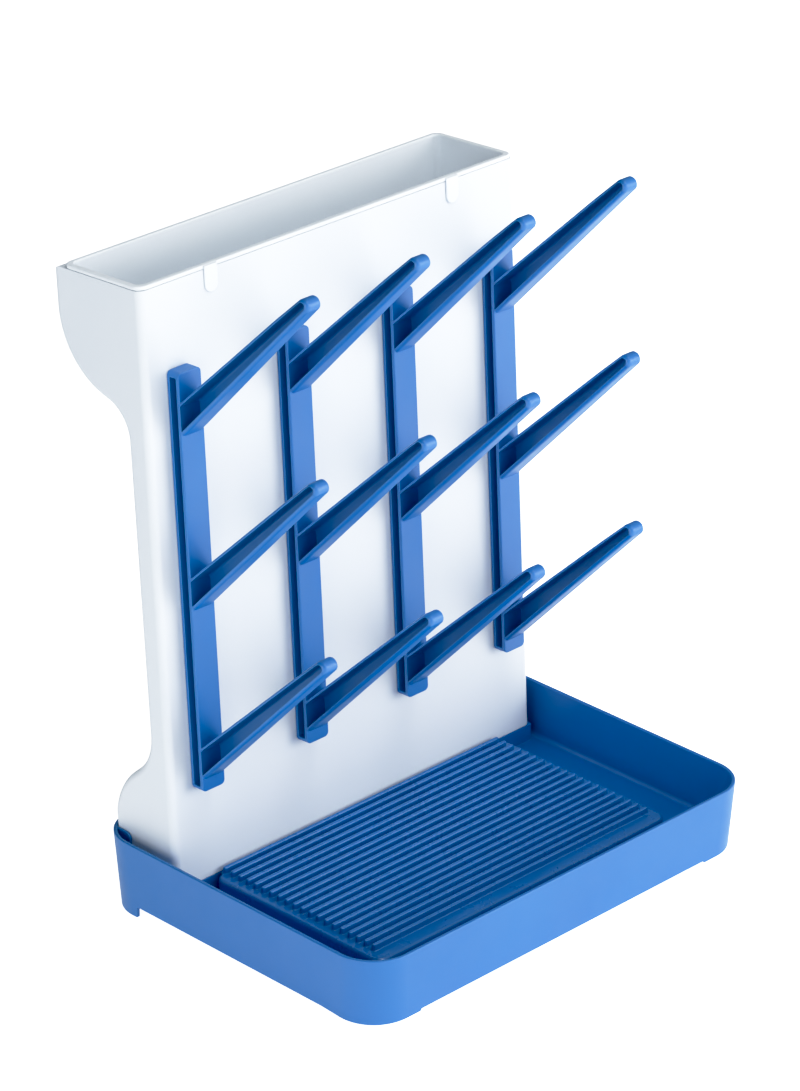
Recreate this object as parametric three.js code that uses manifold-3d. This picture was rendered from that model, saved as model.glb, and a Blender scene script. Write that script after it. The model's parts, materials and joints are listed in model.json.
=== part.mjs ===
// Bottle drying rack: a tray with a ribbed drain grid, an upright tower that carries
// a storage bin, and four rails with three drying pegs each.
// Units are millimetres, +Z is up, the front of the rack faces -Y.
import * as THREE from "three";
import { mergeVertices } from "three/addons/utils/BufferGeometryUtils.js";
import Module from "manifold-3d";

const wasm = await Module();
wasm.setup();

// ---------------------------------------------------------------- dimensions
const GAP = 0.3;                    // clearance between two separate pieces
const REACH = 400;                  // length of cutting blocks that pass right through
const ARC = 6;                      // segments in a quarter turn of a large corner

// Placing. The tray and the tower share one origin: the bottom front edge of the tower.
const TRAY_SLOPE = 1.7;             // degrees the tray falls towards the front
const TOWER_LEAN = 1.35;            // degrees the tower leans back from upright
const SEAT_HEIGHT = 24.1;           // shared origin above the table
const ORIGIN_BACK = 46.34;          // shared origin behind the middle of the overall depth

// Tray, measured in its own tilted frame
const TRAY_WIDTH = 319.2;
const TRAY_FRONT = -173.8;
const TRAY_BACK = 59.2;
const TRAY_DEPTH = TRAY_BACK - TRAY_FRONT;
const TRAY_MIDDLE = ORIGIN_BACK + (TRAY_FRONT + TRAY_BACK) / 2;   // on the table
const TRAY_RADIUS = 27;
const TRAY_WALL = 2.4;
const RIM_Z = 24.5;                 // top of the wall
const WALL_FOOT_Z = -17.2;          // bottom edge of the wall between the feet
const FOOT_END_Z = -30;             // walls are drawn this deep, then trimmed level
const DRAFT = 2.2 / (RIM_Z - WALL_FOOT_Z);   // wall taper per millimetre of height
const FLOOR_TOP = -11.5;
const FLOOR_THICKNESS = 2.5;
const FLOOR_BOTTOM = FLOOR_TOP - FLOOR_THICKNESS;
const BACK_FOOT_LENGTH = 32.7;      // foot measured along the side wall
const FRONT_FOOT_LENGTH = 39.6;     // foot measured along the front wall
const FRONT_FOOT_THICKNESS = 8;
const FOOT_LIFT = 0.4;              // foot walls stop this far above the table

// Seat of the tower at the back of the tray
const SEAT_BACK = 56;
const BOSS_HEIGHT = 10;             // block that enters the hollow foot of the tower
const BOSS_HALF_WIDTH = 110;
const BOSS_FRONT = 5;
const BOSS_BACK = 46;
const COLLAR_THICKNESS = 1.6;       // upright ribs beside the foot of the tower
const COLLAR_FRONT = 38.2;
const COLLAR_TOP = 24.2;

// Anti-slip pads
const PAD_DIAMETER = 15;
const PAD_RECESS = 1.5;
const PAD_POST_DIAMETER = 20;
const PAD_INSET = 25;               // pad centre from the outside of both walls

// Drain grid
const GRID_HALF_WIDTH = 121.5;
const GRID_BACK = -2.2;
const GRID_FRONT = -139.7;
const GRID_RADIUS = 7;
const GRID_TOP = 0.6;               // plate surface between the ribs
const GRID_SHELL = 2.2;
const RIB_COUNT = 20;
const RIB_PITCH = 6.54;
const RIB_WIDTH = 3.0;
const RIB_HEIGHT = 4.2;
const RIB_HALF_LENGTH = 115.5;
const RIB_EDGE = 1.1;               // rounding along the top of a rib
const RIB_END_EDGE = 0.8;           // rounding at its two ends
const FIRST_RIB = -3.9;

// Tower, measured in its own leaning frame
const TOWER_WIDTH = 296.8;
const TOWER_WALL = 2.0;
const TOWER_EDGE = 4.8;             // radius of the upright edges
const TOWER_TOP = 371.3;
const TOWER_FOOT_CLEARANCE = 0.3;   // above the seat
const BIN_BACK = 73.2;              // deepest point of the storage end
const BIN_ARC = 50;                 // underside of the storage end
const BIN_ARC_TOP = 347.3;
const NECK_ARC = 22;                // hollow curve from the storage end into the column
const COLUMN_BACK_TOP = 18.8;
const COLUMN_BACK_FOOT = 17.4;
const COLUMN_FOOT_Z = 95.5;
const UNDERSIDE_SLOPE = 18;         // degrees, straight run under the storage end
const FLARE_HOLLOW_ARC = 33;        // S curve from the column into the foot
const FLARE_ROUND_ARC = 48;
const FLARE_SLOPE = 38;             // degrees, steepest run between the two arcs
const FOOT_BACK = 53;
const SHOULDER = 7;                 // rounded top edge at the back

// Back cover of the column and its screws
const COVER_HALF_WIDTH = 128;
const COVER_BOTTOM = 112;
const COVER_TOP = 262;
const COVER_RADIUS = 8;
const COVER_THICKNESS = 2.0;
const SCREW_COLUMNS = [-83.4, 0, 83.4];
const SCREW_ROWS = [122, 252];
const SCREW_HEAD_DIAMETER = 5.6;
const SCREW_HEAD_HEIGHT = 0.9;
const SCREW_SHANK_DIAMETER = 2.8;
const SCREW_LENGTH = 9;
const BOSS_DIAMETER = 8;

// Storage bin
const LIP_BACK = 64.5;
const LIP_TOP = 373.8;
const LIP_EDGE = 6;
const LINER_WALL = 1.5;
const LINER_BACK = 62.5;
const LINER_FLOOR = 306;
const LINER_ARC = 46;
const LINER_CORNER = 6;
const TAB_OFFSET = 95.6;            // hook tabs left and right of the middle
const TAB_WIDTH = 9.8;
const TAB_BOTTOM = 357;
const TAB_THICKNESS = 1.0;

// Rails and pegs
const RAIL_COUNT = 4;
const RAIL_PITCH = 83.45;
const RAIL_SHIFT = 1.5;             // the row of rails stands a little right of the middle
const RAIL_WIDTH = 17.3;
const RAIL_DEPTH = 9.5;
const RAIL_BOTTOM = 61.4;
const RAIL_TOP = 320.8;
const RAIL_CORNER = 3;
const RAIL_FRONT_WALL = 2.2;
const RAIL_BACK_WALL = 2.0;
const RAIL_CAP = 3.2;
const WEB = 2.0;                    // solid side of every channel
const PEGS_PER_RAIL = 3;
const PEG_SPACING = 106.8;
const PEG_ROOT_Z = 293.5;           // axis of the top peg where it meets its rail
const PEG_RISE = 41.6;              // degrees above level
const PEG_LENGTH = 137.9;           // rail face to the centre of the tip
const PEG_ROOT_HALF = 7.65;
const PEG_TIP_HALF = 4.3;
const PEG_TIP_WIDTH = 12.2;
const PEG_TOP_WALL = 1.5;
const PEG_BOTTOM_WALL = 2.2;
const PEG_EDGE = 1.2;
const PRONG_HEIGHTS = [95, 190, 285];
const PRONG_WIDTH = 8;
const PRONG_TALL = 14;
const PRONG_LENGTH = 8;

// ---------------------------------------------------------------- materials
const material = (color, roughness) =>
  new THREE.MeshStandardMaterial({ color, roughness, metalness: 0 });
const BLUE = material(0x2f6fc4, 0.42);
const DEEP_BLUE = material(0x2765b4, 0.45);
const WHITE = material(0xf1f4f9, 0.38);
const RUBBER = material(0x20242c, 0.85);
const STEEL = new THREE.MeshStandardMaterial({ color: 0xb6bac0, roughness: 0.32, metalness: 1 });

// ---------------------------------------------------------------- solid helpers
function toSolid(geometry) {
  const bare = geometry.index ? geometry.toNonIndexed() : geometry.clone();
  bare.deleteAttribute("normal");
  bare.deleteAttribute("uv");
  const merged = mergeVertices(bare, 1e-4);
  const mesh = new wasm.Mesh({
    numProp: 3,
    vertProperties: new Float32Array(merged.attributes.position.array),
    triVerts: new Uint32Array(merged.index.array),
  });
  return new wasm.Manifold(mesh);
}

function toGeometry(solid) {
  const mesh = solid.getMesh();
  const geometry = new THREE.BufferGeometry();
  geometry.setAttribute("position", new THREE.BufferAttribute(mesh.vertProperties, 3));
  geometry.setIndex(new THREE.BufferAttribute(mesh.triVerts, 1));
  geometry.computeVertexNormals();
  return geometry;
}

const add = (...geometries) =>
  toGeometry(geometries.map(toSolid).reduce((sum, next) => sum.add(next)));

const cut = (base, ...tools) =>
  toGeometry(tools.map(toSolid).reduce((rest, tool) => rest.subtract(tool), toSolid(base)));

const common = (first, ...others) =>
  toGeometry(others.map(toSolid).reduce((kept, next) => kept.intersect(next), toSolid(first)));

// Block between two opposite corners.
function block([x0, y0, z0], [x1, y1, z1]) {
  const geometry = new THREE.BoxGeometry(x1 - x0, y1 - y0, z1 - z0);
  return geometry.translate((x0 + x1) / 2, (y0 + y1) / 2, (z0 + z1) / 2);
}

// Upright block with rounded corners in plan.
function roundedBlock([x0, y0, z0], [x1, y1, z1], radius, segments = ARC) {
  const shape = roundedRectangle(x0, y0, x1, y1, radius);
  const geometry = new THREE.ExtrudeGeometry(shape, {
    depth: z1 - z0, bevelEnabled: false, curveSegments: segments,
  });
  return geometry.translate(0, 0, z0);
}

function roundedRectangle(x0, y0, x1, y1, radius) {
  const shape = new THREE.Shape();
  shape.absarc(x1 - radius, y1 - radius, radius, 0, Math.PI / 2);
  shape.absarc(x0 + radius, y1 - radius, radius, Math.PI / 2, Math.PI);
  shape.absarc(x0 + radius, y0 + radius, radius, Math.PI, 1.5 * Math.PI);
  shape.absarc(x1 - radius, y0 + radius, radius, 1.5 * Math.PI, 2 * Math.PI);
  return shape;
}

// Side-view shape (first axis Y, second axis Z) given thickness across X, centred on X = middle.
function across(shape, width, middle = 0, edge = 0, segments = ARC) {
  const geometry = new THREE.ExtrudeGeometry(shape, {
    depth: width - 2 * edge,
    bevelEnabled: edge > 0,
    bevelThickness: edge,
    bevelSize: edge,
    bevelOffset: -edge,
    bevelSegments: Math.max(1, Math.round(edge)),
    curveSegments: segments,
  });
  geometry.rotateY(Math.PI / 2).rotateX(Math.PI / 2);
  return geometry.translate(middle - width / 2 + edge, 0, 0);
}

function cylinder(diameter, length, segments = 24) {
  return new THREE.CylinderGeometry(diameter / 2, diameter / 2, length, segments);
}

const radians = THREE.MathUtils.degToRad;

// From the tray frame and the tower frame to the table.
const placeTray = (geometry) =>
  geometry.rotateX(radians(TRAY_SLOPE)).translate(0, ORIGIN_BACK, SEAT_HEIGHT);
const placeTower = (geometry) =>
  geometry.rotateX(-radians(TOWER_LEAN)).translate(0, ORIGIN_BACK, SEAT_HEIGHT);

// ---------------------------------------------------------------- tray
// Rounded tray outline, inset from the rim size, with the walls drawn in towards the bottom.
function trayPrism(inset, bottom, top) {
  const half = TRAY_WIDTH / 2 - inset;
  const geometry = roundedBlock(
    [-half, TRAY_FRONT + inset, bottom], [half, TRAY_BACK - inset, top], TRAY_RADIUS - inset);
  const middle = (TRAY_FRONT + TRAY_BACK) / 2;
  const points = geometry.attributes.position;
  for (let i = 0; i < points.count; i += 1) {
    const shift = DRAFT * (RIM_Z - points.getZ(i));
    points.setX(i, points.getX(i) - Math.sign(points.getX(i)) * shift);
    points.setY(i, points.getY(i) - Math.sign(points.getY(i) - middle) * shift);
  }
  return geometry;
}

// Space under a side wall: square at the back foot, a slow ramp at the front foot.
function sideArch(side) {
  const back = TRAY_BACK - BACK_FOOT_LENGTH;
  const shape = new THREE.Shape();
  shape.moveTo(back, FOOT_END_Z - 1);
  shape.lineTo(back, WALL_FOOT_Z);
  shape.lineTo(TRAY_FRONT + 44, WALL_FOOT_Z);
  shape.lineTo(TRAY_FRONT + 6, WALL_FOOT_Z - 2.4);
  shape.lineTo(TRAY_FRONT + 6, FOOT_END_Z - 1);
  shape.closePath();
  return across(shape, 2 * TRAY_RADIUS, side * TRAY_WIDTH / 2);
}

// Space under the front or the back wall between its two feet.
function endArch(front) {
  const half = TRAY_WIDTH / 2 - FRONT_FOOT_LENGTH;
  const [y0, y1] = front ? [TRAY_FRONT - 5, TRAY_FRONT + 40] : [TRAY_BACK - 40, TRAY_BACK + 5];
  return block([-half, y0, FOOT_END_Z - 1], [half, y1, WALL_FOOT_Z]);
}

// Pad centres on the table, each with its corner's name.
function padPlaces() {
  const x = TRAY_WIDTH / 2 - PAD_INSET;
  const front = TRAY_MIDDLE - TRAY_DEPTH / 2 + PAD_INSET;
  const back = TRAY_MIDDLE + TRAY_DEPTH / 2 - PAD_INSET;
  return [
    [-x, front, "front_left"], [x, front, "front_right"],
    [-x, back, "back_left"], [x, back, "back_right"],
  ];
}

// Thick block behind the front wall at each front foot.
function frontFootBlock(side) {
  const outer = TRAY_WIDTH / 2 - TRAY_RADIUS;
  const inner = TRAY_WIDTH / 2 - FRONT_FOOT_LENGTH;
  const x = side > 0 ? [inner, outer] : [-outer, -inner];
  const y = TRAY_FRONT + DRAFT * (RIM_Z - FLOOR_BOTTOM) + 0.2;
  return block([x[0], y, FOOT_END_Z], [x[1], y + FRONT_FOOT_THICKNESS, FLOOR_BOTTOM + 1]);
}

// Upright rib that stands beside the foot of the tower.
function collar(side) {
  const x = side * (TOWER_WIDTH / 2 + GAP + COLLAR_THICKNESS / 2);
  const shape = new THREE.Shape();
  shape.moveTo(COLLAR_FRONT, FLOOR_TOP - 1);
  shape.lineTo(TRAY_BACK - TRAY_WALL, FLOOR_TOP - 1);
  shape.lineTo(TRAY_BACK - TRAY_WALL, COLLAR_TOP);
  shape.absarc(COLLAR_FRONT + 4, COLLAR_TOP - 4, 4, Math.PI / 2, Math.PI);
  return common(across(shape, COLLAR_THICKNESS, x), trayPrism(TRAY_WALL / 2, FLOOR_TOP - 1, RIM_Z));
}

// Height above the table of the middle of the tray floor, or of the seat at the back.
function floorHeight(y) {
  const top = y > ORIGIN_BACK ? 0 : FLOOR_TOP;
  return SEAT_HEIGHT + (y - ORIGIN_BACK) * Math.tan(radians(TRAY_SLOPE)) + top - FLOOR_THICKNESS / 2;
}

// Round post from the tray floor or the seat down to a pad.
function padPost([x, y]) {
  const height = floorHeight(y);
  return cylinder(PAD_POST_DIAMETER, height).rotateX(Math.PI / 2).translate(x, y, height / 2);
}

function padRecess([x, y]) {
  const depth = PAD_RECESS + FOOT_LIFT + GAP;
  const recess = cylinder(PAD_DIAMETER + 2 * GAP, 2 * depth).rotateX(Math.PI / 2);
  return recess.translate(x, y, 0);
}

function tray() {
  const shell = cut(
    trayPrism(0, FOOT_END_Z, RIM_Z),
    trayPrism(TRAY_WALL, FLOOR_TOP, RIM_Z + 1),
    trayPrism(TRAY_WALL, FOOT_END_Z - 1, FLOOR_BOTTOM),
    sideArch(-1), sideArch(1), endArch(true), endArch(false));
  const seatHalf = TOWER_WIDTH / 2 + GAP + COLLAR_THICKNESS / 2;
  const seat = common(
    block([-seatHalf, 0, FLOOR_TOP - 1], [seatHalf, SEAT_BACK, 0]),
    trayPrism(TRAY_WALL / 2, FLOOR_BOTTOM, RIM_Z));
  const boss = block([-BOSS_HALF_WIDTH, BOSS_FRONT, -1], [BOSS_HALF_WIDTH, BOSS_BACK, BOSS_HEIGHT]);
  const underSeat = common(
    block(
      [FLOOR_THICKNESS - seatHalf, FLOOR_THICKNESS, FLOOR_BOTTOM - 1],
      [seatHalf - FLOOR_THICKNESS, SEAT_BACK - 4, -FLOOR_THICKNESS]),
    trayPrism(TRAY_WALL + 1, FOOT_END_Z, RIM_Z));
  const solid = cut(add(
    shell, seat, boss, collar(-1), collar(1), frontFootBlock(-1), frontFootBlock(1)), underSeat);
  const belowFeet = block([-REACH, -REACH, -REACH], [REACH, REACH, FOOT_LIFT]);
  return cut(
    add(placeTray(solid), ...padPlaces().map(padPost)),
    belowFeet, ...padPlaces().map(padRecess));
}

function pad([x, y]) {
  const disc = cylinder(PAD_DIAMETER, PAD_RECESS + FOOT_LIFT).rotateX(Math.PI / 2);
  return disc.translate(x, y, (PAD_RECESS + FOOT_LIFT) / 2);
}

// ---------------------------------------------------------------- drain grid
// Upright block with rounded corners whose top edge is also rounded over.
function softBlock([x0, y0, z0], [x1, y1, z1], radius, edge, segments) {
  const geometry = new THREE.ExtrudeGeometry(roundedRectangle(x0, y0, x1, y1, radius), {
    depth: z1 - z0,
    bevelThickness: edge,
    bevelSize: edge,
    bevelOffset: -edge,
    bevelSegments: 3,
    curveSegments: segments,
  });
  geometry.translate(0, 0, z0 - edge);
  return common(geometry, block([x0 - 1, y0 - 1, z0], [x1 + 1, y1 + 1, z1]));
}

function rib(index) {
  const y = FIRST_RIB - index * RIB_PITCH;
  const half = RIB_WIDTH / 2;
  const top = GRID_TOP + RIB_HEIGHT;
  const shape = new THREE.Shape();
  shape.moveTo(y - half, GRID_TOP - 1);
  shape.lineTo(y + half, GRID_TOP - 1);
  shape.absarc(y + half - RIB_EDGE, top - RIB_EDGE, RIB_EDGE, 0, Math.PI / 2);
  shape.absarc(y - half + RIB_EDGE, top - RIB_EDGE, RIB_EDGE, Math.PI / 2, Math.PI);
  shape.closePath();
  return across(shape, 2 * RIB_HALF_LENGTH, 0, RIB_END_EDGE, 2);
}

function drainGrid() {
  const bottom = FLOOR_TOP + GAP;
  const plate = softBlock(
    [-GRID_HALF_WIDTH, GRID_FRONT, bottom], [GRID_HALF_WIDTH, GRID_BACK, GRID_TOP],
    GRID_RADIUS, 3, ARC);
  const hollow = roundedBlock(
    [GRID_SHELL - GRID_HALF_WIDTH, GRID_FRONT + GRID_SHELL, bottom - 1],
    [GRID_HALF_WIDTH - GRID_SHELL, GRID_BACK - GRID_SHELL, GRID_TOP - GRID_SHELL],
    GRID_RADIUS - GRID_SHELL);
  const ribs = Array.from({ length: RIB_COUNT }, (_, index) => rib(index));
  return placeTray(add(cut(plate, hollow), ...ribs));
}

// ---------------------------------------------------------------- tower
// Side view of the tower, drawn in by an inset. It runs past the top and the bottom.
function towerProfile(inset) {
  const slope = radians(UNDERSIDE_SLOPE);
  const flare = radians(FLARE_SLOPE);
  const turn = Math.PI / 2;
  const binCentre = { y: BIN_BACK - BIN_ARC, z: BIN_ARC_TOP };
  const neckCentreY = COLUMN_BACK_TOP + NECK_ARC;
  const neckRun = binCentre.y + BIN_ARC * Math.sin(slope) - neckCentreY + NECK_ARC * Math.sin(slope);
  const neckCentreZ = binCentre.z - (BIN_ARC + NECK_ARC) * Math.cos(slope) - neckRun * Math.tan(slope);
  const hollowCentreY = COLUMN_BACK_FOOT + FLARE_HOLLOW_ARC;
  const roundCentreY = FOOT_BACK - FLARE_ROUND_ARC;
  const flareRun = roundCentreY + FLARE_ROUND_ARC * Math.sin(flare)
    - hollowCentreY + FLARE_HOLLOW_ARC * Math.sin(flare);
  const roundCentreZ = COLUMN_FOOT_Z
    - (FLARE_HOLLOW_ARC + FLARE_ROUND_ARC) * Math.cos(flare) - flareRun * Math.tan(flare);
  const shape = new THREE.Shape();
  shape.moveTo(inset, -20);
  shape.lineTo(inset, TOWER_TOP + 20);
  shape.lineTo(BIN_BACK - inset, TOWER_TOP + 20);
  shape.absarc(binCentre.y, binCentre.z, BIN_ARC - inset, 0, slope - turn, true);
  shape.absarc(neckCentreY, neckCentreZ, NECK_ARC + inset, turn + slope, 2 * turn, false);
  shape.absarc(hollowCentreY, COLUMN_FOOT_Z, FLARE_HOLLOW_ARC + inset,
    2 * turn, 3 * turn - flare, false);
  shape.absarc(roundCentreY, roundCentreZ, FLARE_ROUND_ARC - inset, turn - flare, 0, true);
  shape.lineTo(FOOT_BACK - inset, -20);
  shape.closePath();
  return shape;
}

// Everything below the top edge, with the shoulder rounded over at the back.
function shoulderProfile() {
  const shape = new THREE.Shape();
  shape.moveTo(-5, -30);
  shape.lineTo(-5, TOWER_TOP);
  shape.lineTo(BIN_BACK - SHOULDER, TOWER_TOP);
  shape.absarc(BIN_BACK - SHOULDER, TOWER_TOP - SHOULDER, SHOULDER, Math.PI / 2, 0, true);
  shape.lineTo(BIN_BACK, -30);
  shape.closePath();
  return shape;
}

// Front-view shape (first axis X, second axis Z) given thickness from y0 back to y1.
function facing(shape, y0, y1, segments = ARC) {
  const geometry = new THREE.ExtrudeGeometry(shape, {
    depth: y1 - y0, bevelEnabled: false, curveSegments: segments,
  });
  return geometry.rotateX(Math.PI / 2).translate(0, y1, 0);
}

function coverOpening(clearance) {
  const half = COVER_HALF_WIDTH + clearance;
  const shape = roundedRectangle(
    -half, COVER_BOTTOM - clearance, half, COVER_TOP + clearance, COVER_RADIUS + clearance);
  return facing(shape, TOWER_WALL + 8, BIN_BACK);
}

// Back surface of the column at a given height.
function columnBack(z) {
  const rise = (z - COVER_BOTTOM) / (COVER_TOP - COVER_BOTTOM);
  return THREE.MathUtils.lerp(COLUMN_BACK_FOOT, COLUMN_BACK_TOP, rise);
}

const screwPlaces = () => SCREW_ROWS.flatMap((z) => SCREW_COLUMNS.map((x) => [x, z]));
const railMiddle = (index) => RAIL_SHIFT + (index - (RAIL_COUNT - 1) / 2) * RAIL_PITCH;

// Round rod along Y between two depths.
function rod(diameter, [x, z], y0, y1, segments = 16) {
  return cylinder(diameter, y1 - y0, segments).translate(x, (y0 + y1) / 2, z);
}

function prong(index, z, clearance) {
  const x = railMiddle(index);
  const halfWidth = PRONG_WIDTH / 2 + clearance;
  const halfTall = PRONG_TALL / 2 + clearance;
  return block(
    [x - halfWidth, -GAP - 1, z - halfTall], [x + halfWidth, PRONG_LENGTH, z + halfTall]);
}

const railIndexes = Array.from({ length: RAIL_COUNT }, (_, index) => index);

// Waste around the foot, whose back corners follow the rounded corners of the tray.
function footWaste(clearance) {
  const waste = cut(
    block([-REACH, -REACH, -60], [REACH, REACH, COLUMN_FOOT_Z]),
    trayPrism(TRAY_WALL + clearance, -70, COLUMN_FOOT_Z + 10));
  return waste.rotateX(radians(TRAY_SLOPE + TOWER_LEAN));
}

function towerShell() {
  const outside = cut(
    common(across(towerProfile(0), TOWER_WIDTH, 0, TOWER_EDGE), across(shoulderProfile(), REACH)),
    footWaste(2 * GAP));
  const hollow = cut(
    across(towerProfile(TOWER_WALL), TOWER_WIDTH - 2 * TOWER_WALL),
    footWaste(2 * GAP + TOWER_WALL));
  const belowSeat = block([-REACH, -REACH, -REACH], [REACH, REACH, TOWER_FOOT_CLEARANCE]);
  belowSeat.rotateX(radians(TRAY_SLOPE + TOWER_LEAN));
  const slots = railIndexes.flatMap((index) => PRONG_HEIGHTS.map((z) => prong(index, z, GAP)));
  const ledge = common(outside, block(
    [-REACH, LINER_BACK + GAP, TOWER_TOP - SHOULDER - 2], [REACH, REACH, TOWER_TOP]));
  const wall = add(cut(outside, hollow, coverOpening(GAP), belowSeat, ...slots), ledge);
  const bosses = screwPlaces().map((place) =>
    rod(BOSS_DIAMETER, place, TOWER_WALL / 2, columnBack(place[1]) - COVER_THICKNESS - 2 * GAP));
  const pilots = screwPlaces().map((place) =>
    rod(SCREW_SHANK_DIAMETER + 2 * GAP, place, TOWER_WALL + 1, BIN_BACK));
  return placeTower(cut(add(wall, ...bosses), ...pilots));
}

function backCover() {
  const skin = cut(
    across(towerProfile(0), TOWER_WIDTH), across(towerProfile(COVER_THICKNESS), TOWER_WIDTH + 2));
  const panel = common(skin, coverOpening(0));
  const sinks = screwPlaces().map((place) =>
    rod(SCREW_HEAD_DIAMETER + 2 * GAP, place, columnBack(place[1]) - 1.4, BIN_BACK));
  const holes = screwPlaces().map((place) =>
    rod(SCREW_SHANK_DIAMETER + 2 * GAP, place, 0, BIN_BACK));
  return placeTower(cut(panel, ...sinks, ...holes));
}

function screw(place) {
  const back = columnBack(place[1]) - 0.2;
  const head = rod(SCREW_HEAD_DIAMETER, place, back - SCREW_HEAD_HEIGHT, back);
  const shank = rod(SCREW_SHANK_DIAMETER, place, back - SCREW_LENGTH, back - SCREW_HEAD_HEIGHT / 2, 12);
  return placeTower(add(head, shank));
}

// ---------------------------------------------------------------- storage bin
// Side view of the liner, drawn in by an inset, open upwards past the lip.
function linerProfile(inset, top) {
  const front = TOWER_WALL + GAP + inset;
  const back = LINER_BACK - inset;
  const floor = LINER_FLOOR + inset;
  const arc = LINER_ARC - inset;
  const corner = LINER_CORNER - inset;
  const centreY = BIN_BACK - BIN_ARC;
  const floorAngle = -Math.asin((BIN_ARC_TOP - floor) / arc);
  const backAngle = -Math.acos((back - centreY) / arc);
  const shape = new THREE.Shape();
  shape.moveTo(back, top);
  shape.lineTo(front, top);
  shape.absarc(front + corner, floor + corner, corner, Math.PI, 1.5 * Math.PI, false);
  shape.absarc(centreY, BIN_ARC_TOP, arc, floorAngle, backAngle, false);
  shape.closePath();
  return shape;
}

function hookTab(side) {
  const x = side * TAB_OFFSET;
  const half = TAB_WIDTH / 2;
  const shape = new THREE.Shape();
  shape.moveTo(x + half, LIP_TOP);
  shape.lineTo(x - half, LIP_TOP);
  shape.absarc(x, TAB_BOTTOM + half, half, Math.PI, 2 * Math.PI, false);
  shape.closePath();
  const bridge = block(
    [x - half, -GAP - TAB_THICKNESS, TOWER_TOP + GAP], [x + half, LINER_CORNER, LIP_TOP]);
  return add(facing(shape, -GAP - TAB_THICKNESS, -GAP), bridge);
}

function storageBin() {
  const half = TOWER_WIDTH / 2;
  const linerHalf = half - TOWER_WALL - GAP;
  const lip = roundedBlock(
    [-half, 0, TOWER_TOP + GAP], [half, LIP_BACK, LIP_TOP], LIP_EDGE);
  const liner = common(
    across(linerProfile(0, LIP_TOP - 1), 2 * linerHalf),
    roundedBlock(
      [-linerHalf, TOWER_WALL + GAP, LINER_FLOOR - 1], [linerHalf, LINER_BACK, LIP_TOP], 4));
  const hollow = common(
    across(linerProfile(LINER_WALL, LIP_TOP + 5), 2 * (linerHalf - LINER_WALL)),
    roundedBlock(
      [LINER_WALL - linerHalf, TOWER_WALL + GAP + LINER_WALL, LINER_FLOOR],
      [linerHalf - LINER_WALL, LINER_BACK - LINER_WALL, LIP_TOP + 5], 4));
  return placeTower(cut(add(lip, liner, hookTab(-1), hookTab(1)), hollow));
}

// ---------------------------------------------------------------- rails with pegs
// Half height of a peg at a distance from the rail.
const pegHalf = (distance) =>
  THREE.MathUtils.lerp(PEG_ROOT_HALF, PEG_TIP_HALF, distance / PEG_LENGTH);

// Peg side view, drawn level and pointing to the front, inset by its wall thicknesses.
function pegProfile(topWall, bottomWall) {
  const root = -20;
  const tip = PEG_LENGTH;
  const top = (distance) => pegHalf(distance) - topWall;
  const bottom = (distance) => bottomWall - pegHalf(distance);
  const radius = (top(tip) - bottom(tip)) / 2;
  const middle = (top(tip) + bottom(tip)) / 2;
  const shape = new THREE.Shape();
  shape.moveTo(-root, bottom(root));
  shape.lineTo(-root, top(root));
  shape.absarc(-tip, middle, radius, Math.PI / 2, 1.5 * Math.PI, false);
  shape.closePath();
  return shape;
}

// Narrow a level peg towards its tip, from its solid side only, and swing it up onto the rail.
function raisePeg(geometry, z) {
  const points = geometry.attributes.position;
  const openSide = -RAIL_WIDTH / 2;
  const narrowing = 1 - PEG_TIP_WIDTH / RAIL_WIDTH;
  for (let i = 0; i < points.count; i += 1) {
    const distance = THREE.MathUtils.clamp(-points.getY(i) / PEG_LENGTH, 0, 1);
    points.setX(i, openSide + (points.getX(i) - openSide) * (1 - narrowing * distance));
  }
  return geometry.rotateX(-radians(PEG_RISE)).translate(0, -GAP - RAIL_DEPTH, z);
}

function inFrontOf(y) {
  return block([-REACH, -REACH, -REACH], [REACH, y, 2 * REACH]);
}

function rail(index) {
  const x = railMiddle(index);
  const front = -GAP - RAIL_DEPTH;
  const half = RAIL_WIDTH / 2;
  const heights = Array.from({ length: PEGS_PER_RAIL }, (_, peg) => PEG_ROOT_Z - peg * PEG_SPACING);
  const bar = facing(
    roundedRectangle(-half, RAIL_BOTTOM, half, RAIL_TOP, RAIL_CORNER), front, -GAP, 3);
  const channel = block(
    [-half - 1, front + RAIL_FRONT_WALL, RAIL_BOTTOM + RAIL_CAP],
    [half - WEB, -GAP - RAIL_BACK_WALL, RAIL_TOP - RAIL_CAP]);
  const pegs = heights.map((z) => common(
    raisePeg(across(pegProfile(0, 0), RAIL_WIDTH, 0, PEG_EDGE, 5), z),
    inFrontOf(front + RAIL_FRONT_WALL / 2)));
  const pockets = heights.map((z) => {
    const profile = pegProfile(PEG_TOP_WALL, PEG_BOTTOM_WALL);
    const pocket = across(profile, RAIL_WIDTH, -WEB, 0, 5);
    return common(raisePeg(pocket, z), inFrontOf(front));
  });
  const body = cut(add(cut(bar, channel), ...pegs), ...pockets);
  const prongs = PRONG_HEIGHTS.map((z) => prong(index, z, 0).translate(-x, 0, 0));
  return placeTower(add(body, ...prongs).translate(x, 0, 0));
}

// ---------------------------------------------------------------- assembly
const rack = new THREE.Group();
rack.name = "bottle_drying_rack";

function place(name, geometry, look) {
  const mesh = new THREE.Mesh(geometry, look);
  mesh.name = name;
  rack.add(mesh);
}

place("tray", tray(), BLUE);
place("drain_grid", drainGrid(), DEEP_BLUE);
place("tower_shell", towerShell(), WHITE);
place("back_cover", backCover(), WHITE);
place("storage_bin", storageBin(), WHITE);
railIndexes.forEach((index) => place(`peg_rail_${index + 1}`, rail(index), BLUE));
padPlaces().forEach((corner) => place(`foot_pad_${corner[2]}`, pad(corner), RUBBER));
screwPlaces().forEach((corner, index) => place(`cover_screw_${index + 1}`, screw(corner), STEEL));

export default rack;
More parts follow.
